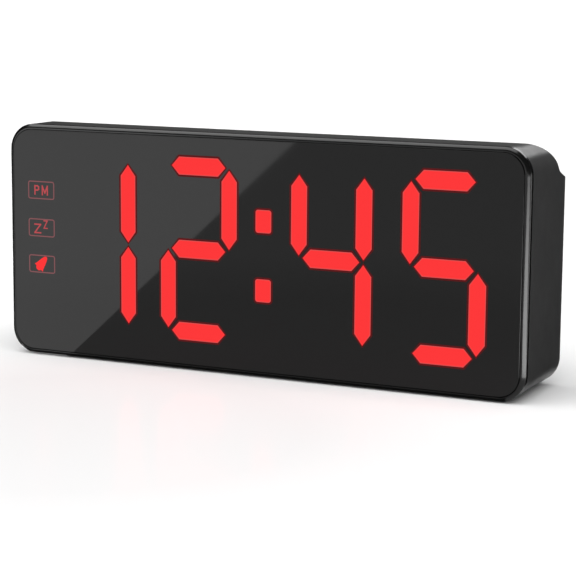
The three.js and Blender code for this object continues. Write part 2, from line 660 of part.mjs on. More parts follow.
// A knob, the plate that covers its slot from inside, and the lever to its switch.
function alarmKnob() {
  const { x, z, width, height, travel, proud } = ALARM_KNOB;
  const plate = { reach: 1, rise: 1.2, thickness: 1.2 };
  const lever = 1;
  const plateBack = INNER_WALL - GAP;
  const plateFront = plateBack - plate.thickness;
  const coverReach = width / 2 + travel + plate.reach;
  const knob = block(
    x - width / 2, x + width / 2, plateFront + EMBED, CASE_DEPTH + proud,
    z - height / 2, z + height / 2);
  const cover = block(
    x - coverReach, x + coverReach, plateFront, plateBack,
    z - height / 2 - plate.rise, z + height / 2 + plate.rise);
  const rod = block(
    x - lever, x + lever, ON_MAIN_BOARD + SLIDE_SWITCH.thickness + GAP, plateFront + EMBED,
    z - lever, z + lever);
  return join(knob, cover, rod);
}

// A thumbwheel with a finely ribbed rim: each rib is wide at the top and has sloping sides.
function dimmerDial() {
  const { x, z, radius, width, bore, ribs, ribDepth } = DIMMER;
  const ribTop = 0.5;
  const slope = 0.12;
  const points = [];
  for (let rib = 0; rib < ribs; rib += 1) {
    const corners = [
      [0, radius], [ribTop, radius],
      [ribTop + slope, radius - ribDepth], [1 - slope, radius - ribDepth],
    ];
    for (const [part, reach] of corners) {
      const angle = ((rib + part) / ribs) * 2 * Math.PI;
      points.push(new THREE.Vector2(reach * Math.cos(angle), reach * Math.sin(angle)));
    }
  }
  const wheel = new THREE.ExtrudeGeometry(
    new THREE.Shape(points), { depth: width, bevelEnabled: false });
  wheel.translate(x, DIMMER_Y, z - width / 2);
  return cut(wheel, rodZ(x, DIMMER_Y, bore, z - width, z + width));
}

// The door's plate, the plug that fills the way through the wall, and a finger grip.
function batteryDoor() {
  const { width, height, thickness, radius, plug } = DOOR;
  const plate = slabY(
    centredOutline(CELL.x, CELL.z, width, height, radius), CASE_DEPTH - thickness, CASE_DEPTH, 4);
  const filler = slabY(
    centredOutline(CELL.x, CELL.z, width - 2 * plug, height - 2 * plug, radius),
    INNER_WALL - BUTTON_GAP, CASE_DEPTH - thickness / 2, 4);
  const gripZ = CELL.z + height / 2 - DOOR_GRIP.drop;
  const grip = slabY(
    centredOutline(CELL.x, gripZ, DOOR_GRIP.width, DOOR_GRIP.height, DOOR_GRIP.radius),
    CASE_DEPTH - DOOR_GRIP.depth, CASE_DEPTH + OVERSHOOT, HIDDEN_STEPS);
  return cut(join(plate, filler), grip);
}

// ---------- fasteners and feet ----------

// A pan-head screw whose head faces the rear (+1) or the front (-1).
function screwY(x, z, seat, length, facing) {
  const ends = (a, b) => (facing > 0 ? [seat + a, seat + b] : [seat - b, seat - a]);
  const rest = 0.05; // the head hangs clear of its seat by this much
  const head = rodY(x, z, SCREW.head, ...ends(rest, SCREW.headDepth));
  const shank = rodY(x, z, SCREW.shank, ...ends(-length, EMBED), 12);
  const long = SCREW_CROSS.length / 2;
  const thin = SCREW_CROSS.width / 2;
  const slot = ends(SCREW.headDepth - SCREW_CROSS.depth, SCREW.headDepth + OVERSHOOT);
  return cut(
    join(head, shank),
    block(x - thin, x + thin, ...slot, z - long, z + long),
    block(x - long, x + long, ...slot, z - thin, z + thin));
}

function foot(x, y) {
  const top = FOOT.thickness - FOOT.drop - GAP / 2;
  return rodZ(x, y, FOOT.radius, -FOOT.drop, top, 24);
}

// ---------- assembly ----------

const clock = new THREE.Group();
clock.position.set(0, -(CASE_DEPTH + BUTTON_PROUD) / 2, FOOT.drop);

function addPiece(name, geometry, material) {
  const mesh = new THREE.Mesh(geometry, MATERIALS[material]);
  mesh.name = name;
  clock.add(mesh);
}

// Adds one piece for each entry of a list, numbered from 1.
function addNumbered(prefix, suffix, places, make, material) {
  places.forEach((place, index) => {
    addPiece(`${prefix}_${index + 1}${suffix}`, make(place), material);
  });
}

addPiece('front_bezel', frontBezel(), 'bezel');
addPiece('front_lens', frontLens(), 'lens');
addPiece('rear_housing', rearHousing(), 'housing');
addPiece('light_mask', lightMask(), 'mask');
addNumbered('digit', '_diffuser', DIGIT_CENTRES, digitDiffuser, 'diffuser');
addPiece('colon_diffuser', colonDiffuser(), 'diffuser');
addPiece('icon_diffuser', iconDiffuser(), 'diffuser');
addPiece('display_board', displayBoard(), 'board');
addPiece('main_board', mainBoard(), 'board');
addPiece('board_header', boardHeader(), 'chip');
addPiece('clock_chip', clockChip(), 'chip');
addPiece('crystal_can', crystalCan(), 'steel');
addPiece('smoothing_capacitor', smoothingCapacitor(), 'chip');
addPiece('power_jack', powerJack(), 'chip');
addNumbered('usb_port', '', USB.centres, usbPort, 'steel');
addPiece('loudspeaker', loudspeaker(), 'chip');
addPiece('cell_holder', cellHolder(), 'chip');
addPiece('coin_cell', coinCell(), 'steel');
addPiece('battery_door', batteryDoor(), 'housing');
addPiece('snooze_bar', snoozeBar(), 'button');
addPiece('snooze_switch', snoozeSwitch(), 'chip');
for (const [name, x] of Object.entries(BUTTON_CENTRES)) {
  addPiece(`${name}_button`, pushButton(x), 'button');
  addPiece(`${name}_switch`, tactSwitch(x, BUTTON.z), 'chip');
}
addPiece('alarm_knob', alarmKnob(), 'button');
addPiece('slide_switch', slideSwitch(), 'chip');
addPiece('dimmer_dial', dimmerDial(), 'button');
addPiece('dimmer_pot', dimmerPot(), 'chip');

const cornerPosts = atCornerPosts((x, z) => ({ x, z }));
addNumbered('case_screw', '', cornerPosts, ({ x, z }) => (
  screwY(x, z, CASE_DEPTH - SCREW_RECESS, SCREW_LENGTHS.case, 1)), 'steel');
addNumbered('display_screw', '', BOARD_SCREWS, ({ x, z }) => (
  screwY(x, z, DISPLAY_BOARD_Y + BOARD_THICKNESS, SCREW_LENGTHS.display, 1)), 'steel');
addNumbered('board_screw', '', MAIN_POSTS, ({ x, z }) => (
  screwY(x, z, MAIN_BOARD_Y, SCREW_LENGTHS.board, -1)), 'steel');

const feet = [-FOOT.x, FOOT.x].flatMap((x) => FOOT.y.map((y) => ({ x, y })));
addNumbered('foot', '', feet, ({ x, y }) => foot(x, y), 'rubber');

export default clock;
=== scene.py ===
"""Looks of the digital desk alarm clock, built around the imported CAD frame.

Lengths in this script are millimetres in the case's own frame, unless a name
says otherwise: X from the middle of the clock, Y from the front of the lens
towards the rear, Z from the underside of the case. at() turns such a point
into the row frame's metres.
"""

import json
import math
from functools import partial

import bmesh
import bpy
from mathutils import Matrix, Vector

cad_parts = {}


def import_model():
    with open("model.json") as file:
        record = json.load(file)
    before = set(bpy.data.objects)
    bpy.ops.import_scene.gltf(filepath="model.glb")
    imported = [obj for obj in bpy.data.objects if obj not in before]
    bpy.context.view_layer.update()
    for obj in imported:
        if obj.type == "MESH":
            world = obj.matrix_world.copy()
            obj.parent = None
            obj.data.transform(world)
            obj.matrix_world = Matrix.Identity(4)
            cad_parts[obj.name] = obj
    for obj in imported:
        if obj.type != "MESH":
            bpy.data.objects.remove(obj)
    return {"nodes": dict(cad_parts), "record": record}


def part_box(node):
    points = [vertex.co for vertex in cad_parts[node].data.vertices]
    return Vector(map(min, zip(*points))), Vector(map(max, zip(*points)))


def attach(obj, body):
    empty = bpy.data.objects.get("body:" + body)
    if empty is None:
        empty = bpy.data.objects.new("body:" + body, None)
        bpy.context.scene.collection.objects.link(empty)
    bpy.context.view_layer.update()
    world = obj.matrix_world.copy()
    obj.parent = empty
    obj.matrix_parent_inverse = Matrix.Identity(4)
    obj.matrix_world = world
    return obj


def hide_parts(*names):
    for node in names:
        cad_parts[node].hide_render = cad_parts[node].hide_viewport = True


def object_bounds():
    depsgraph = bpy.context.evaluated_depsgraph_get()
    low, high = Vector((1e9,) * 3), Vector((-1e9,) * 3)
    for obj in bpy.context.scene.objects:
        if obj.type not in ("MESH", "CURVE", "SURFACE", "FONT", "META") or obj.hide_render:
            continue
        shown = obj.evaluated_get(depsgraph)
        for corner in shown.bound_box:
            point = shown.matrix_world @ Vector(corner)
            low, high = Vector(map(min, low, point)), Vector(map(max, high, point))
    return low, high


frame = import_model()
CAD_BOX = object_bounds()
NODES = frame["nodes"]

# ---------- driving dimensions, from the frame where it holds them ----------

MM = 0.001
LENS_LOW, LENS_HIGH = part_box("front_lens")
SHELL_LOW, SHELL_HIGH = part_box("rear_housing")
BEZEL_LOW, BEZEL_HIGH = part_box("front_bezel")

CASE_WIDTH = (SHELL_HIGH.x - SHELL_LOW.x) / MM
CASE_HEIGHT = (SHELL_HIGH.z - SHELL_LOW.z) / MM
CASE_DEPTH = (SHELL_HIGH.y - LENS_LOW.y) / MM
SHELL_FRONT = (SHELL_LOW.y - LENS_LOW.y) / MM
LENS_BACK = (LENS_HIGH.y - LENS_LOW.y) / MM
LENS_INSET = (SHELL_HIGH.x - LENS_HIGH.x) / MM
BEZEL_FRONT = (BEZEL_LOW.y - LENS_LOW.y) / MM
BEZEL_EDGE = 1.1
BEZEL_LIP = 0.1  # small bevel next to the lens
BEZEL_CROWN = (  # how far in from the side, and how far back, as shares of the bezel's edge
    (0.0, 1.22), (0.02, 1.03), (0.09, 0.88), (0.27, 0.64), (0.46, 0.45),
    (0.66, 0.27), (0.88, 0.09), (1.03, 0.02), (1.22, 0.0),
)
CORNER_RADIUS = 9.9
WALL = 2.2
GAP = 0.3
LEDGE_INSET = 6.5
TONGUE_END = 12
BACK_ARC_RADIUS = 18.7
BACK_ARC_START = 16.2
BACK_ARC_SWEEP = math.pi / 3
SHELF_FRONT = (35.2, 77.9)
SHELF_BACK = (39.4, 76.3)
REAR_EDGE = 1.2
HEEL_RADIUS = 3

SEGMENT_RISE = 31.01
SEGMENT_SIDE = 12.71
UPRIGHT_Z = 15.49
UPRIGHT_BAR = (29.0, 6.7)
LEVEL_BAR = (22.0, 7.1)
UPRIGHT_TIP = 3.9
LEVEL_TIP = 2.8
TIP_REACH = 0.15  # how much further than the light block each lit tip spreads
CORE_INSET = 0.2  # bright core of a lit bar, drawn in from the light block
EDGE_WIDTH = 0.3  # softer edge of the core
GLOW_RIM = 0.5  # dim edge, out to the mask's window
INLAY = 0.03  # how far lit bars stand ahead of the lens surface
LENS_EDGE = 0.15
LENS_LINE = 0.12  # dark line left between lens and bezel
SEAM_LINE = 0.12  # dark line left between bezel and housing
LIT_BARS = {1: "bc", 2: "abged", 3: "fbgc", 4: "afgcd"}
COLON_DOT = (6.8, 8.9)
COLON_RADIUS = 1.2
COLON_RISE = 12.77
ICON_SIZE = (11.3, 6.55)
ICON_LINE = 0.42
ICON_RISES = (14.32, -0.22, -14.32)  # icons above and below the middle of their diffuser
ICON_CORNER = 0.7
ICON_DEPTH = 0.3
MARK_LINE = 0.55  # width of the lines in the letters and the large Z
SMALL_MARK_LINE = 0.45

# holes in the housing: width, height and corner radius
BUTTON_HOLE = (10.8, 6.8, 2.8)
KNOB_HOLE = (8.8, 4.2, 0.4)
KNOB_HOLE_SHIFT = 2  # half of the knob's travel
DIAL_HOLE = (14, 3.8, 0.4)
PORT_HOLE = (13.9, 6.5, 0.8)
DOOR_RECESS = (26.6, 26.6, 2.8)
DOOR_RECESS_DEPTH = 1.5
DOOR_WAY = (23, 23, 2.5)
DOOR_WAY_DEPTH = 6
JACK_HOLE_RADIUS = 4.9
JACK_HOLE_RISE = 0.5  # barrel's axis above the middle of jack and foot together
SCREW_HOLE_RADIUS = 3.2
SCREW_HOLE_DEPTH = 4
FOOT_POCKET_RADIUS = 5.3
FOOT_POCKET_DEPTH = 0.95
GRILLE_SLOTS = 7
GRILLE_PITCH = 3.2
GRILLE_RADIUS = 12
GRILLE_SLOT = (1.3, 0.64)  # height and end radius
SNOOZE_HALF_WIDTH = 34.6
SNOOZE_GAP = 0.4
SNOOZE_CORNER = 1.2
SNOOZE_HOLE_BOTTOM = 74
CLEARANCE = 2  # how far a cutter reaches past what it cuts


def at(x, y, z):
    """A point of the case's frame, as a vector in the row frame."""
    return Vector((x * MM, y * MM + LENS_LOW.y, z * MM + SHELL_LOW.z))


def middle(node):
    """The centre of a CAD node's box, in the case's frame."""
    low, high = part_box(node)
    centre = (low + high) / 2
    return Vector((centre.x, centre.y - LENS_LOW.y, centre.z - SHELL_LOW.z)) / MM


# ---------- outlines ----------


def arc(centre, radius, start, end, steps):
    """Points along a circular arc, both ends included; angles in radians."""
    points = []
    for step in range(steps + 1):
        angle = start + (end - start) * step / steps
        points.append((centre[0] + radius * math.cos(angle), centre[1] + radius * math.sin(angle)))
    return points


def rounded(left, right, bottom, top, radius, steps=12):
    quarter = math.pi / 2
    return (
        arc((right - radius, bottom + radius), radius, -quarter, 0, steps)
        + arc((right - radius, top - radius), radius, 0, quarter, steps)
        + arc((left + radius, top - radius), radius, quarter, 2 * quarter, steps)
        + arc((left + radius, bottom + radius), radius, 2 * quarter, 3 * quarter, steps)
    )


def centred(x, z, width, height, radius, steps=8):
    return rounded(x - width / 2, x + width / 2, z - height / 2, z + height / 2, radius, steps)


def case_outline(inset, steps=14):
    half = CASE_WIDTH / 2 - inset
    return rounded(-half, half, inset, CASE_HEIGHT - inset, CORNER_RADIUS - inset, steps)


def bezier(start, control, end, steps):
    """Points of a quadratic curve, without its first point."""
    points = []
    for step in range(1, steps + 1):
        t = step / steps
        a, b, c = (1 - t) ** 2, 2 * t * (1 - t), t * t
        points.append(tuple(a * start[i] + b * control[i] + c * end[i] for i in (0, 1)))
    return points


def side_outline(inset, steps=16):
    """The case seen from the side, in Y and Z, drawn in from its rear, top and bottom."""
    centre = (BACK_ARC_START, CASE_HEIGHT - BACK_ARC_RADIUS)
    radius = BACK_ARC_RADIUS - inset
    end_angle = math.pi / 2 - BACK_ARC_SWEEP
    curve = arc(centre, radius, end_angle, math.pi / 2, steps)
    rear = CASE_DEPTH - inset
    heel = HEEL_RADIUS - inset / 2
    shelf_back = (SHELF_BACK[0] - inset, SHELF_BACK[1] - inset)
    shelf_front = (SHELF_FRONT[0] - inset, SHELF_FRONT[1] - inset)
    edge = (rear, shelf_back[1] - REAR_EDGE)
    points = [(-10, inset)]
    points += arc((rear - heel, inset + heel), heel, -math.pi / 2, 0, 8)
    points.append(edge)
    points += bezier(edge, (rear, shelf_back[1]), shelf_back, 5)
    points.append(shelf_front)
    points += bezier(shelf_front, (curve[0][0] + 1, shelf_front[1] + 0.6), curve[0], 6)
    points += curve[1:]
    points.append((-10, CASE_HEIGHT - inset))
    return points


# ---------- mesh helpers ----------


def to_object(name, bm):
    bmesh.ops.recalc_face_normals(bm, faces=bm.faces)
    mesh = bpy.data.meshes.new(name)
    bm.to_mesh(mesh)
    bm.free()
    piece = bpy.data.objects.new(name, mesh)
    bpy.context.scene.collection.objects.link(piece)
    return piece


PLACES = {
    "x": lambda a, b, depth: at(depth, a, b),
    "y": lambda a, b, depth: at(a, depth, b),
    "z": lambda a, b, depth: at(a, b, depth),
}


def add_prism(bm, outline, low, high, axis="y"):
    """Adds a closed prism on an outline, from low to high along an axis."""
    place = PLACES[axis]
    near = [bm.verts.new(place(a, b, low)) for a, b in outline]
    far = [bm.verts.new(place(a, b, high)) for a, b in outline]
    bm.faces.new(near)
    bm.faces.new(reversed(far))
    for i, corner in enumerate(near):
        following = (i + 1) % len(near)
        bm.faces.new((corner, far[i], far[following], near[following]))


def prism(name, outline, low, high, axis="y"):
    bm = bmesh.new()
    add_prism(bm, outline, low, high, axis)
    return to_object(name, bm)


def disc_outline(x, z, radius, steps=32):
    return arc((x, z), radius, 0, 2 * math.pi * (1 - 1 / steps), steps - 1)


def apply_modifiers(piece):
    bpy.context.view_layer.update()
    graph = bpy.context.evaluated_depsgraph_get()
    mesh = bpy.data.meshes.new_from_object(piece.evaluated_get(graph))
    piece.modifiers.clear()
    piece.data = mesh


def boolean(piece, other, operation):
    """Joins, cuts or intersects piece with other, which is used up."""
    step = piece.modifiers.new("boolean", "BOOLEAN")
    step.operation = operation
    step.solver = "EXACT"
    step.object = other
    apply_modifiers(piece)
    bpy.data.objects.remove(other)


def clean(piece, angle=0.2):
    """Merges doubled points and joins flat neighbouring faces."""
    bm = bmesh.new()
    bm.from_mesh(piece.data)
    bmesh.ops.remove_doubles(bm, verts=bm.verts, dist=0.00001)
    bmesh.ops.dissolve_limit(
        bm, angle_limit=math.radians(angle), verts=bm.verts, edges=bm.edges)
    bm.to_mesh(piece.data)
    bm.free()


def bevel(piece, width, segments=3, angle=30):
    step = piece.modifiers.new("bevel", "BEVEL")
    step.width = width * MM
    step.segments = segments
    step.limit_method = "ANGLE"
    step.angle_limit = math.radians(angle)
    step.use_clamp_overlap = True
    apply_modifiers(piece)


def smooth(piece, angle=35):
    for face in piece.data.polygons:
        face.use_smooth = True
    piece.data.set_sharp_from_angle(angle=math.radians(angle))
    step = piece.modifiers.new("normals", "WEIGHTED_NORMAL")
    step.keep_sharp = True
    apply_modifiers(piece)


def finish_piece(piece, body, looks, replaced=None):
    """Gives a piece its materials, puts it under its body's empty, and hides the CAD node it
    stands in for.
    """
    for look in looks:
        piece.data.materials.append(look)
    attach(piece, body)
    if replaced:
        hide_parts(replaced)
    return piece


# ---------- materials ----------


class Recipe:
    """A new node material, with short calls for the nodes it needs."""

    def __init__(self, name):
        self.material = bpy.data.materials.new(name)
        self.material.use_nodes = True
        self.nodes = self.material.node_tree.nodes
        self.links = self.material.node_tree.links
        self.shader = self.nodes["Principled BSDF"]
        self.place = self.nodes.new("ShaderNodeTexCoord").outputs["Object"]

    def set(self, **values):
        for name, value in values.items():
            self.shader.inputs[name.replace("_", " ")].default_value = value
        return self

    def noise(self, size_mm, detail=2.0, roughness=0.5, stretch=None):
        """Noise whose lumps are about size_mm across."""
        node = self.nodes.new("ShaderNodeTexNoise")
        node.inputs["Scale"].default_value = 1 / (size_mm * MM)
        node.inputs["Detail"].default_value = detail
        node.inputs["Roughness"].default_value = roughness
        source = self.place
        if stretch:
            mapping = self.nodes.new("ShaderNodeMapping")
            mapping.inputs["Scale"].default_value = stretch
            self.links.new(self.place, mapping.inputs["Vector"])
            source = mapping.outputs["Vector"]
        self.links.new(source, node.inputs["Vector"])
        return node.outputs["Fac"]

    def spread(self, source, low, high, from_low=0.3, from_high=0.7):
        node = self.nodes.new("ShaderNodeMapRange")
        node.inputs["From Min"].default_value = from_low
        node.inputs["From Max"].default_value = from_high
        node.inputs["To Min"].default_value = low
        node.inputs["To Max"].default_value = high
        self.links.new(source, node.inputs["Value"])
        return node.outputs["Result"]

    def blend(self, factor, first, second):
        node = self.nodes.new("ShaderNodeMix")
        node.data_type = "RGBA"
        node.inputs["A"].default_value = (*first, 1)
        node.inputs["B"].default_value = (*second, 1)
        self.links.new(factor, node.inputs["Factor"])
        return node.outputs["Result"]

    def drive(self, name, source):
        self.links.new(source, self.shader.inputs[name])

    def bump(self, height, depth_mm, strength=1.0):
        node = self.nodes.new("ShaderNodeBump")
        node.inputs["Distance"].default_value = depth_mm * MM
        node.inputs["Strength"].default_value = strength
        self.links.new(height, node.inputs["Height"])
        self.links.new(node.outputs["Normal"], self.shader.inputs["Normal"])


def tinted(colour, factor):
    return tuple(channel * factor for channel in colour)


def grained_plastic(name, colour, roughness, grain_mm, grain_depth, specular=0.5):
    """Moulded plastic with a spark-eroded grain and slightly uneven gloss."""
    recipe = Recipe(name)
    recipe.set(Specular_IOR_Level=specular)
    shade = recipe.spread(recipe.noise(18, detail=3), 0, 1)
    recipe.drive("Base Color", recipe.blend(shade, tinted(colour, 0.95), tinted(colour, 1.05)))
    gloss = recipe.spread(recipe.noise(7, detail=4), roughness - 0.02, roughness + 0.03)
    recipe.drive("Roughness", gloss)
    recipe.bump(recipe.noise(grain_mm, detail=3, roughness=0.6), grain_depth)
    return recipe.material


def lens_acrylic():
    """Smoked acrylic, polished, with faint wipe marks in its gloss."""
    recipe = Recipe("lens_acrylic")
    recipe.set(Base_Color=(0.0055, 0.0055, 0.0055, 1), Specular_IOR_Level=0.15)
    wiped = recipe.noise(30, detail=5, roughness=0.6, stretch=(0.35, 1, 1.4))
    recipe.drive("Roughness", recipe.spread(wiped, 0.02, 0.05))
    return recipe.material


def glowing(name, light, resin):
    """A lit light block, flush in the lens: the light it gives, over dark tinted resin."""
    recipe = Recipe(name)
    recipe.set(Emission_Color=(*light, 1), Emission_Strength=1.0)
    recipe.set(Specular_IOR_Level=0.0, Roughness=0.6)
    grain = recipe.spread(recipe.noise(0.6), 0, 1)
    recipe.drive("Base Color", recipe.blend(grain, tinted(resin, 0.7), resin))
    return recipe.material


def brushed_metal(name, colour, roughness, stretch):
    recipe = Recipe(name)
    recipe.set(Metallic=1.0)
    lines = recipe.noise(0.5, detail=4, roughness=0.7, stretch=stretch)
    recipe.drive("Roughness", recipe.spread(lines, roughness - 0.06, roughness + 0.1))
    stain = recipe.spread(recipe.noise(4, detail=3), 0, 1)
    recipe.drive("Base Color", recipe.blend(stain, tinted(colour, 0.85), colour))
    recipe.bump(lines, 0.004)
    return recipe.material


def foot_rubber():
    recipe = Recipe("foot_rubber")
    recipe.set(Specular_IOR_Level=0.35)
    dust = recipe.spread(recipe.noise(2.5, detail=5, roughness=0.65), 0, 1, 0.45, 0.75)
    recipe.drive("Base Color", recipe.blend(dust, (0.012, 0.012, 0.012), (0.03, 0.03, 0.029)))
    recipe.drive("Roughness", recipe.spread(recipe.noise(1.2), 0.75, 0.95))
    recipe.bump(recipe.noise(0.35, detail=4), 0.03)
    return recipe.material


def circuit_board():
    """Green solder mask with a faint weave and copper runs under it."""
    recipe = Recipe("circuit_board")
    recipe.set(Specular_IOR_Level=0.5)
    runs = recipe.noise(3, detail=0, stretch=(1, 1, 6))
    copper = recipe.spread(runs, 0, 1, 0.54, 0.57)
    recipe.drive("Base Color", recipe.blend(copper, (0.01, 0.07, 0.03), (0.03, 0.13, 0.05)))
    recipe.drive("Roughness", recipe.spread(recipe.noise(2), 0.3, 0.42))
    recipe.bump(copper, 0.03, 0.5)
    return recipe.material


POLISH_CENTRE = (-0.02, -0.12)  # metres
POLISH_REACH = (0.08, 0.22)  # metres from there over which the polish fades out
POLISH_WEIGHT = 0.8


def floor_material():
    """White board, with a polished patch round the clock that fades out with distance."""
    recipe = Recipe("floor")
    recipe.set(Specular_IOR_Level=0.0)
    recipe.drive("Coat Roughness", recipe.spread(recipe.noise(300, detail=1), 0.16, 0.2))
    distance = recipe.nodes.new("ShaderNodeVectorMath")
    distance.operation = "DISTANCE"
    distance.inputs[1].default_value = (*POLISH_CENTRE, CAD_BOX[0].z)
    recipe.links.new(recipe.place, distance.inputs[0])
    weight = recipe.spread(distance.outputs["Value"], POLISH_WEIGHT, 0.0, *POLISH_REACH)
    recipe.drive("Coat Weight", weight)
    shade = recipe.spread(recipe.noise(500, detail=1), 0, 1)
    recipe.drive("Base Color", recipe.blend(shade, (0.9, 0.9, 0.9), (0.91, 0.91, 0.91)))
    return recipe.material


def black_card():
    recipe = Recipe("black_card")
    recipe.set(Roughness=0.9, Specular_IOR_Level=0.1)
    weave = recipe.spread(recipe.noise(1), 0, 1)
    recipe.drive("Base Color", recipe.blend(weave, (0.015, 0.015, 0.015), (0.02, 0.02, 0.02)))
    return recipe.material


CARD = black_card()
LOOKS = {
    "bezel_plastic": grained_plastic(
        "bezel_plastic", (0.003, 0.003, 0.003), 0.2, 0.5, 0.001, 0.25),
    "housing_plastic": grained_plastic(
        "housing_plastic", (0.043, 0.043, 0.043), 0.34, 0.45, 0.003, 0.25),
    "button_plastic": grained_plastic("button_plastic", (0.03, 0.03, 0.031), 0.5, 0.35, 0.008),
    "mask_plastic": grained_plastic("mask_plastic", (0.012, 0.012, 0.012), 0.7, 0.4, 0.01),
    "chip_black": grained_plastic("chip_black", (0.02, 0.02, 0.02), 0.55, 0.2, 0.01),
    "jack_plastic": grained_plastic("jack_plastic", (0.014, 0.014, 0.014), 0.3, 0.4, 0.003),
    "speaker_black": grained_plastic("speaker_black", (0.02, 0.02, 0.02), 0.8, 0.15, 0.02),
    "capacitor_sleeve": grained_plastic("capacitor_sleeve", (0.01, 0.015, 0.05), 0.3, 0.8, 0.004),
    "diffuser": grained_plastic("diffuser", (0.5, 0.03, 0.03), 0.5, 0.3, 0.005),
    "steel": brushed_metal("steel", (0.62, 0.62, 0.62), 0.28, (1, 6, 1)),
    "screw_steel": brushed_metal("screw_steel", (0.5, 0.5, 0.49), 0.35, (3, 1, 3)),
    "foot_rubber": foot_rubber(),
    "circuit_board": circuit_board(),
    "lens_acrylic": lens_acrylic(),
}
GLOWS = [
    glowing("segment_core", (0.965, 0.038, 0.040), (0.02, 0.002, 0.002)),
    glowing("segment_edge", (0.690, 0.080, 0.080), (0.02, 0.003, 0.003)),
    glowing("segment_rim", (0.075, 0.005, 0.006), (0.02, 0.004, 0.004)),
]
ICON_LINE_LOOK = glowing("icon_line", (0.240, 0.090, 0.098), (0.01, 0.004, 0.004))
ICON_LETTER_LOOK = glowing("icon_letter", (0.480, 0.075, 0.085), (0.01, 0.002, 0.002))


# ---------- case ----------


def swept_ring(bm, section, steps=16):
    """Sweeps a closed section of (inset, depth) points round the case's front outline."""
    loops = []
    for inset, depth in section:
        outline = case_outline(inset, steps)
        loops.append([bm.verts.new(at(x, depth, z)) for x, z in outline])
    count = len(loops[0])
    for i, loop in enumerate(loops):
        following = loops[(i + 1) % len(loops)]
        for j in range(count):
            k = (j + 1) % count
            bm.faces.new((loop[j], loop[k], following[k], following[j]))


def bezel():
    """The frame round the lens, with a softly crowned front edge."""
    crown = [
        (reach * BEZEL_EDGE, BEZEL_FRONT + sink * BEZEL_EDGE)
        for reach, sink in BEZEL_CROWN
    ]
    section = [(0, SHELL_FRONT - SEAM_LINE), *crown]
    section += [
        (LENS_INSET - LENS_LINE - BEZEL_LIP, BEZEL_FRONT),
        (LENS_INSET - LENS_LINE, BEZEL_FRONT + BEZEL_LIP),
        (LENS_INSET - LENS_LINE, LENS_BACK + GAP),
        (LEDGE_INSET, LENS_BACK + GAP),
        (LEDGE_INSET, TONGUE_END),
        (WALL + GAP, TONGUE_END),
        (WALL + GAP, SHELL_FRONT - SEAM_LINE),
    ]
    bm = bmesh.new()
    swept_ring(bm, section)
    piece = to_object("bezel", bm)
    smooth(piece, 50)
    return finish_piece(piece, "case", [LOOKS["bezel_plastic"]], "front_bezel")


def lens():
    """The window: a flat plate whose front edge is rounded and polished."""
    steps = 6
    bm = bmesh.new()
    rings = [(LENS_INSET, LENS_BACK)]
    for step in range(steps + 1):
        angle = math.pi / 2 * step / steps
        inset = LENS_INSET + LENS_EDGE * (1 - math.cos(angle))
        rings.append((inset, INLAY + LENS_EDGE * (1 - math.sin(angle))))
    loops = []
    for inset, depth in rings:
        loops.append([bm.verts.new(at(x, depth, z)) for x, z in case_outline(inset, 16)])
    for near, far in zip(loops, loops[1:]):
        for j in range(len(near)):
            k = (j + 1) % len(near)
            bm.faces.new((near[j], near[k], far[k], far[j]))
    bm.faces.new(loops[0])
    bm.faces.new(reversed(loops[-1]))
    piece = to_object("lens", bm)
    smooth(piece, 40)
    return finish_piece(piece, "case", [LOOKS["lens_acrylic"]], "front_lens")


def numbered(name, count):
    return [f"{name}_{number}" for number in range(1, count + 1)]


def add_hole(bm, spot, size, near, far, steps=8):
    """A cutter of a given width, height and corner radius, centred on spot."""
    width, height, radius = size
    add_prism(bm, centred(spot.x, spot.z, width, height, radius, steps), near, far)


def slot_cutters(bm):
    """Every opening of the rear wall, placed from the CAD nodes behind them."""
    inner = CASE_DEPTH - WALL - CLEARANCE
    outer = CASE_DEPTH + CLEARANCE
    for node in ("time_button", "alarm_button", "up_button", "down_button"):
        add_hole(bm, middle(node), BUTTON_HOLE, inner, outer)
    knob = middle("alarm_knob") + Vector((KNOB_HOLE_SHIFT, 0, 0))
    add_hole(bm, knob, KNOB_HOLE, inner, outer, 3)
    add_hole(bm, middle("dimmer_dial"), DIAL_HOLE, inner, outer, 3)
    for node in numbered("usb_port", 2):
        add_hole(bm, middle(node), PORT_HOLE, inner, outer)
    jack = middle("power_jack")
    add_prism(bm, disc_outline(jack.x, jack.z + JACK_HOLE_RISE, JACK_HOLE_RADIUS), inner, outer)
    grille_cutters(bm, inner, outer)
    add_hole(bm, middle("battery_door"), DOOR_RECESS, CASE_DEPTH - DOOR_RECESS_DEPTH, outer)
    for node in numbered("case_screw", 4):
        spot = middle(node)
        outline = disc_outline(spot.x, spot.z, SCREW_HOLE_RADIUS)
        add_prism(bm, outline, CASE_DEPTH - SCREW_HOLE_DEPTH, outer)


def grille_cutters(bm, inner, outer):
    """Level slots in front of the loudspeaker, each as long as fits in a circle."""
    speaker = middle("loudspeaker")
    height, radius = GRILLE_SLOT
    for slot in range(GRILLE_SLOTS):
        offset = (slot - (GRILLE_SLOTS - 1) / 2) * GRILLE_PITCH
        reach = math.sqrt(GRILLE_RADIUS**2 - offset**2)
        outline = centred(speaker.x, speaker.z + offset, 2 * reach, height, radius, 6)
        add_prism(bm, outline, inner, outer)


def cut_snooze_hole(piece):
    low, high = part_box("snooze_bar")
    front = (low.y - LENS_LOW.y) / MM - SNOOZE_GAP
    back = (high.y - LENS_LOW.y) / MM + SNOOZE_GAP
    width = 2 * (SNOOZE_HALF_WIDTH + SNOOZE_GAP)
    outline = centred(0, (front + back) / 2, width, back - front, SNOOZE_CORNER, 5)
    top = CASE_HEIGHT + CLEARANCE
    boolean(piece, prism("snooze_slot", outline, SNOOZE_HOLE_BOTTOM, top, "z"), "DIFFERENCE")


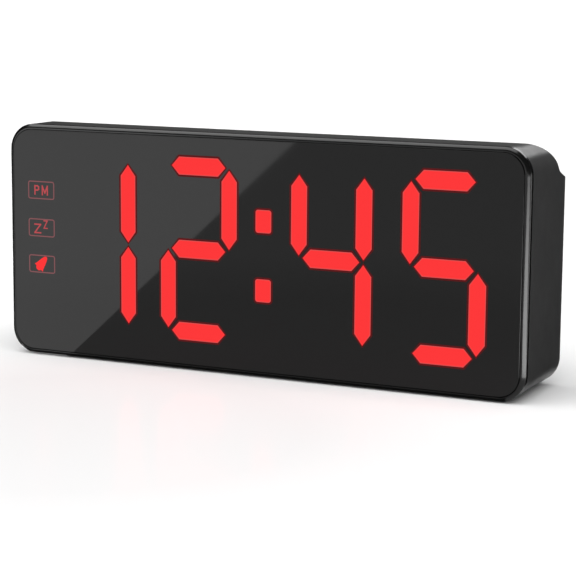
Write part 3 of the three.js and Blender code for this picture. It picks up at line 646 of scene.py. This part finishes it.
def housing():
    """The rear shell: the front outline and the side outline cut out of each other."""
    piece = prism("housing", case_outline(0), SHELL_FRONT, CASE_DEPTH)
    side = prism("side", side_outline(0), -CASE_WIDTH, CASE_WIDTH, "x")
    boolean(piece, side, "INTERSECT")
    clean(piece)
    bevel(piece, 0.5, 3)
    hollow = prism("hollow", case_outline(WALL, 6), SHELL_FRONT - CLEARANCE, CASE_DEPTH - WALL)
    hollow_side = prism("hollow_side", side_outline(WALL, 8), -CASE_WIDTH, CASE_WIDTH, "x")
    boolean(hollow, hollow_side, "INTERSECT")
    boolean(piece, hollow, "DIFFERENCE")
    through = bmesh.new()
    door = middle("battery_door")
    add_hole(through, door, DOOR_WAY, CASE_DEPTH - DOOR_WAY_DEPTH, CASE_DEPTH + CLEARANCE)
    boolean(piece, to_object("door_way", through), "DIFFERENCE")
    cutters = bmesh.new()
    slot_cutters(cutters)
    boolean(piece, to_object("slots", cutters), "DIFFERENCE")
    cut_snooze_hole(piece)
    for node in numbered("foot", 4):
        spot = middle(node)
        pocket = disc_outline(spot.x, spot.y, FOOT_POCKET_RADIUS)
        cutter = prism("foot_pocket", pocket, -CLEARANCE, FOOT_POCKET_DEPTH, "z")
        boolean(piece, cutter, "DIFFERENCE")
    clean(piece)
    smooth(piece, 32)
    return finish_piece(piece, "case", [LOOKS["housing_plastic"]], "rear_housing")


# ---------- display ----------


def bar_outline(x, z, bar, upright, grow):
    """A lit bar: a slim hexagon with pointed ends, grown all round by grow."""
    tip = UPRIGHT_TIP if upright else LEVEL_TIP
    slope = math.atan2(bar[1] / 2, tip)
    along = bar[0] / 2 + TIP_REACH + max(grow, 0) / math.sin(slope)
    across = bar[1] / 2 + grow
    corner = bar[0] / 2 - tip + grow * math.tan(slope / 2)
    points = [
        (along, 0), (corner, across), (-corner, across),
        (-along, 0), (-corner, -across), (corner, -across),
    ]
    if upright:
        return [(x - b, z + a) for a, b in points]
    return [(x + a, z + b) for a, b in points]


def bar_place(letter):
    """Where a bar sits from its digit's centre, its size, and whether it stands upright."""
    places = {
        "a": (0, SEGMENT_RISE), "g": (0, 0), "d": (0, -SEGMENT_RISE),
        "b": (SEGMENT_SIDE, UPRIGHT_Z), "c": (SEGMENT_SIDE, -UPRIGHT_Z),
        "f": (-SEGMENT_SIDE, UPRIGHT_Z), "e": (-SEGMENT_SIDE, -UPRIGHT_Z),
    }
    upright = letter in "bcef"
    return places[letter], UPRIGHT_BAR if upright else LEVEL_BAR, upright


CORE, EDGE, RIM = 0, 1, 2  # places of the three glow materials on a lit piece


def add_tile(bm, outline):
    """A lit tile: bright core, softer edge, and a dim rim that slopes down to the lens.

    outline(grow) gives the tile's outline, grown or drawn in from the light block.
    """
    rings = []
    for grow, depth in (
        (-CORE_INSET - EDGE_WIDTH, 0),
        (-CORE_INSET, 0),
        (GLOW_RIM, INLAY - 0.005),
        (GLOW_RIM, INLAY + 0.4),
    ):
        rings.append([bm.verts.new(at(x, depth, z)) for x, z in outline(grow)])
    bm.faces.new(rings[0]).material_index = CORE
    bm.faces.new(reversed(rings[-1])).material_index = RIM
    for inner, outer, look in zip(rings, rings[1:], (EDGE, RIM, RIM)):
        for j in range(len(inner)):
            k = (j + 1) % len(inner)
            bm.faces.new((inner[k], inner[j], outer[j], outer[k])).material_index = look


def lit_piece(name, outlines):
    bm = bmesh.new()
    for outline in outlines:
        add_tile(bm, outline)
    return finish_piece(to_object(name, bm), "case", GLOWS)


def digits():
    for place, letters in LIT_BARS.items():
        centre = middle(f"digit_{place}_diffuser")
        outlines = []
        for letter in letters:
            (dx, dz), bar, upright = bar_place(letter)
            outlines.append(partial(bar_outline, centre.x + dx, centre.z + dz, bar, upright))
        lit_piece(f"digit_{place}_light", outlines)


def dot_outline(x, z, grow):
    width, height = COLON_DOT
    return centred(x, z, width + 2 * grow, height + 2 * grow, COLON_RADIUS + grow, 5)


def colon():
    centre = middle("colon_diffuser")
    outlines = [partial(dot_outline, centre.x, centre.z + side * COLON_RISE) for side in (1, -1)]
    lit_piece("colon_light", outlines)


# ---------- icons ----------


def stroke(points, width):
    """A line of even width along points, as one four-cornered outline per stretch."""
    outlines = []
    for start, end in zip(points, points[1:]):
        start, end = Vector(start), Vector(end)
        along = (end - start).normalized() * width / 2
        side = Vector((-along.y, along.x))
        start, end = start - along, end + along
        outlines.append([start - side, end - side, end + side, start + side])
    return outlines


def shifted(points, x, z):
    return [(a + x, b + z) for a, b in points]


def inlaid(name, outlines, look):
    """Thin shapes let into the lens, each a hair behind the last so that none share a plane."""
    bm = bmesh.new()
    for order, outline in enumerate(outlines):
        step = 0.001 * order
        add_prism(bm, outline, step, INLAY + ICON_DEPTH + step)
    return finish_piece(to_object(name, bm), "case", [look])


def icon_box(name, x, z):
    """A thin box with rounded corners, drawn as an outer and an inner outline."""
    line = ICON_LINE / 2
    bm = bmesh.new()
    rings = []
    for grow, depth in ((line, 0), (-line, 0), (-line, ICON_DEPTH), (line, ICON_DEPTH)):
        width, height = (side + 2 * grow for side in ICON_SIZE)
        outline = centred(x, z, width, height, ICON_CORNER + grow, 4)
        rings.append([bm.verts.new(at(a, depth, b)) for a, b in outline])
    for i, ring in enumerate(rings):
        following = rings[(i + 1) % len(rings)]
        for j in range(len(ring)):
            k = (j + 1) % len(ring)
            bm.faces.new((ring[j], ring[k], following[k], following[j]))
    finish_piece(to_object(name, bm), "case", [ICON_LINE_LOOK])


LETTER_P = [
    (-2.83, -1.63), (-2.83, 1.6), (-1.68, 1.6), (-1.15, 1.2),
    (-1.15, 0.35), (-1.68, -0.05), (-2.83, -0.05),
]
LETTER_M = [(0.5, -1.7), (0.5, 1.6), (1.63, -0.99), (2.76, 1.6), (2.76, -1.7)]
LARGE_Z = [(-3.1, 1.25), (-0.45, 1.25), (-3.1, -2.0), (-0.45, -2.0)]
SMALL_Z = [(1.05, 2.75), (2.55, 2.75), (1.05, -0.1), (2.55, -0.1)]
BELL_SIDE = [
    (0.25, 5.6), (0.65, 5.25), (1.0, 4.55), (1.3, 3.6), (1.6, 2.4), (1.85, 1.2), (2.3, 0),
]
BELL_LEAN = math.radians(-40)
BELL_FOOT = (-1.55, -1.5)  # middle of the bell's mouth, from the middle of its box


def bell_outline(x, z):
    """A small bell that leans to the right, seen as one solid shape."""
    mouth = arc((0, 0.35), 1.35, math.radians(-15), math.radians(-165), 8)
    left_side = [(-w, h) for w, h in BELL_SIDE]
    outline = []
    for w, h in BELL_SIDE + mouth + left_side[::-1]:
        across = w * math.cos(BELL_LEAN) - h * math.sin(BELL_LEAN)
        up = w * math.sin(BELL_LEAN) + h * math.cos(BELL_LEAN)
        outline.append((x + BELL_FOOT[0] + across, z + BELL_FOOT[1] + up))
    return outline


def icons():
    centre = middle("icon_diffuser")
    x = centre.x
    top, second, bottom = (centre.z + rise for rise in ICON_RISES)
    for name, z in (("afternoon", top), ("snooze", second), ("alarm", bottom)):
        icon_box(f"{name}_box", x, z)
    letters = stroke(shifted(LETTER_P, x, top), MARK_LINE)
    letters += stroke(shifted(LETTER_M, x, top), MARK_LINE)
    inlaid("afternoon_mark", letters, ICON_LETTER_LOOK)
    zeds = stroke(shifted(LARGE_Z, x, second), MARK_LINE)
    zeds += stroke(shifted(SMALL_Z, x, second), SMALL_MARK_LINE)
    inlaid("snooze_mark", zeds, ICON_LETTER_LOOK)
    inlaid("alarm_mark", [bell_outline(x, bottom)], GLOWS[0])


# ---------- pieces refined from their CAD nodes ----------


def refined(node, body, slot, width, segments=2, angle=30, smooth_angle=35):
    """A copy of a CAD node's mesh with its edges rounded, standing for the node."""
    piece = bpy.data.objects.new(f"{node}_piece", NODES[node].data.copy())
    bpy.context.scene.collection.objects.link(piece)
    piece.data.materials.clear()
    clean(piece)
    if width:
        bevel(piece, width, segments, angle)
    smooth(piece, smooth_angle)
    return finish_piece(piece, body, [LOOKS[slot]], node)


SLOT_OF = {entry["node"]: entry["material_slot"] for entry in frame["record"]["subparts"]}
BODIES = frame["record"]["behaviour"]["bodies"]
BODY_OF = {node: body for body, nodes in BODIES.items() for node in nodes}
ROUNDED_EDGE = {
    "snooze_bar": 0.35, "time_button": 0.35, "alarm_button": 0.35, "up_button": 0.35,
    "down_button": 0.35, "alarm_knob": 0.2, "dimmer_dial": 0.12, "battery_door": 0.18,
    "usb_port_1": 0.08, "usb_port_2": 0.08, "power_jack": 0.12, "foot_1": 0.2, "foot_2": 0.2,
    "foot_3": 0.2, "foot_4": 0.2, "case_screw_1": 0.15, "case_screw_2": 0.15,
    "case_screw_3": 0.15, "case_screw_4": 0.15,
}


def small_pieces():
    made = {"front_bezel", "front_lens", "rear_housing"}
    for node in sorted(NODES):
        if node in made:
            continue
        if node in ROUNDED_EDGE:
            refined(node, BODY_OF[node], SLOT_OF[node], ROUNDED_EDGE[node])
        else:
            mesh = NODES[node].data
            mesh.materials.clear()
            mesh.materials.append(LOOKS[SLOT_OF[node]])


# ---------- stage, light and camera ----------

SOFT_STUDIO = 0.2  # brightness of the studio's walls as a source of soft light
REFLECTED_STUDIO = 0.07  # the same, as seen in glossy surfaces

# The stage is laid out in metres, in the row frame.
GROUND = CAD_BOX[0].z
FLOOR_REACH = 12.0
PANEL_RISE = 0.0005  # floor panels lie this far above the floor
CARD_RISE = 0.0007
SIDE_CARD_X = 0.1054  # 0.4 mm clear of the case's sides
SIDE_CARD_BACK = 0.6
SUN_WIDTH = 110  # degrees across: a very soft light
SUN_STRENGTH = 4.5


def floor():
    bm = bmesh.new()
    reach = FLOOR_REACH
    corners = [(-reach, -reach), (reach, -reach), (reach, reach), (-reach, reach)]
    bm.faces.new([bm.verts.new((x, y, GROUND)) for x, y in corners])
    piece = to_object("floor", bm)
    piece.data.materials.append(floor_material())


def aim(obj, target):
    obj.rotation_mode = "QUATERNION"
    obj.rotation_quaternion = (Vector(target) - obj.location).to_track_quat("-Z", "Y")


def panel_power(area, brightness):
    """The power that gives an area light this brightness, where white paper in full light is 1."""
    return brightness * area * math.pi


def panel_data(name, size, brightness):
    data = bpy.data.lights.new(name, "AREA")
    data.shape = "RECTANGLE"
    data.size, data.size_y = size
    data.energy = panel_power(size[0] * size[1], brightness)
    return data


def area_light(name, place, target, size, brightness):
    lamp = bpy.data.objects.new(name, panel_data(name, size, brightness))
    lamp.location = place
    bpy.context.scene.collection.objects.link(lamp)
    aim(lamp, target)
    lamp.visible_camera = False
    return lamp


def mirror_panel(name, corner, turn, length, width, brightness):
    """A lit panel flat on the floor, seen only in reflections.

    It starts at corner, runs for length in the direction turn (degrees from +X),
    and reaches width to the right of that direction.
    """
    lamp = bpy.data.objects.new(name, panel_data(name, (length, width), brightness))
    spin = Matrix.Rotation(math.radians(turn), 4, "Z")
    centre = spin @ Vector((length / 2, -width / 2, 0))
    face_up = Matrix.Rotation(math.pi, 4, "X")
    lamp.matrix_world = Matrix.Translation(Vector(corner) + centre) @ spin @ face_up
    bpy.context.scene.collection.objects.link(lamp)
    lamp.visible_camera = False
    lamp.visible_diffuse = False


def flag(name, corners):
    """A black card near the clock that keeps the white floor out of its edges' reflections."""
    bm = bmesh.new()
    bm.faces.new([bm.verts.new(corner) for corner in corners])
    piece = to_object(name, bm)
    piece.data.materials.append(CARD)
    piece.visible_camera = False
    piece.visible_diffuse = False
    piece.visible_shadow = False


def side_flag(name, x, front, back, height):
    """A flag that stands beside the clock."""
    flag(name, [(x, front, GROUND), (x, back, GROUND), (x, back, height), (x, front, height)])


def floor_flag(name, left, right, front, back):
    """A narrow flag that lies along the foot of the clock."""
    z = GROUND + CARD_RISE
    flag(name, [(left, front, z), (right, front, z), (right, back, z), (left, back, z)])


def soft_daylight():
    """A very wide sun from the front left, which lights but isn't mirrored."""
    sun = bpy.data.lights.new("soft_daylight", "SUN")
    sun.angle = math.radians(SUN_WIDTH)
    sun.energy = SUN_STRENGTH
    lamp = bpy.data.objects.new("soft_daylight", sun)
    lamp.location = (-0.3, -1.6, 2.0)
    bpy.context.scene.collection.objects.link(lamp)
    aim(lamp, (0, 0, 0))
    lamp.visible_glossy = False


def mirrored_panels():
    """Lit panels that show only as reflections in the lens, the bezel and the top."""
    height = GROUND + PANEL_RISE
    mirror_panel("left_panel", (-0.079, -0.02, height), -109.9, 1.1, 0.6, 2.5)
    mirror_panel("right_panel", (0.155, 0.03, height), -12, 0.6, 0.3, 12.5)
    overhead = area_light("overhead", (-0.55, -0.1, 1.3), (-0.55, -0.1, 0), (2.0, 1.0), 5)
    overhead.visible_diffuse = False
    corner = area_light("corner_light", (0.15, 1.5, 0.52), (0.1, 0, 0.09), (0.8, 0.4), 2.4)
    corner.visible_diffuse = False


def glow_spill():
    """The red light that the display throws on the floor in front of it."""
    glow = area_light("glow_spill", (0, -0.03, 0.045), (0, -0.2, 0), (0.18, 0.05), 0.22)
    glow.data.color = (1, 0.05, 0.05)
    glow.visible_glossy = False


def flags():
    side_flag("right_flag", SIDE_CARD_X, -0.0175, SIDE_CARD_BACK, 0.092)
    side_flag("left_flag", -SIDE_CARD_X, -0.024, SIDE_CARD_BACK, 0.1)
    foot = CAD_BOX[0].y
    floor_flag("front_floor_flag", -0.104, 0.098, foot - 0.005, foot + 0.002)


def lights():
    soft_daylight()
    mirrored_panels()
    glow_spill()
    flags()


def world():
    """A studio seen three ways: white to the camera, dim as soft light, dark in reflections."""
    studio = bpy.data.worlds.new("studio")
    bpy.context.scene.world = studio
    studio.use_nodes = True
    nodes, links = studio.node_tree.nodes, studio.node_tree.links
    nodes.clear()
    path = nodes.new("ShaderNodeLightPath")

    def background(brightness):
        node = nodes.new("ShaderNodeBackground")
        node.inputs["Color"].default_value = (brightness, brightness, brightness, 1)
        return node.outputs[0]

    def choose(question, otherwise, then):
        node = nodes.new("ShaderNodeMixShader")
        links.new(path.outputs[question], node.inputs["Fac"])
        links.new(otherwise, node.inputs[1])
        links.new(then, node.inputs[2])
        return node.outputs[0]

    soft = choose("Is Diffuse Ray", background(REFLECTED_STUDIO), background(SOFT_STUDIO))
    out = nodes.new("ShaderNodeOutputWorld")
    links.new(choose("Is Camera Ray", soft, background(1.0)), out.inputs["Surface"])
    bpy.context.scene.view_settings.view_transform = "Standard"


CAMERA_PLACE = (309.4, -625.4, 147.9)
CAMERA_YAW = math.radians(25.255)
CAMERA_PITCH = math.radians(9.333)
CAMERA_ROLL = math.radians(0.467)
CAMERA_LENS = 120.54
CAMERA_SENSOR = 36


def camera():
    data = bpy.data.cameras.new("camera")
    data.sensor_width = CAMERA_SENSOR
    data.lens = CAMERA_LENS
    view = bpy.data.objects.new("camera", data)
    turn = (
        Matrix.Rotation(CAMERA_YAW, 4, "Z")
        @ Matrix.Rotation(math.pi / 2 - CAMERA_PITCH, 4, "X")
        @ Matrix.Rotation(CAMERA_ROLL, 4, "Z")
    )
    view.matrix_world = Matrix.Translation(at(*CAMERA_PLACE)) @ turn
    bpy.context.scene.collection.objects.link(view)
    bpy.context.scene.camera = view


world()
camera()
lights()
floor()
bezel()
lens()
housing()
digits()
colon()
icons()
small_pieces()
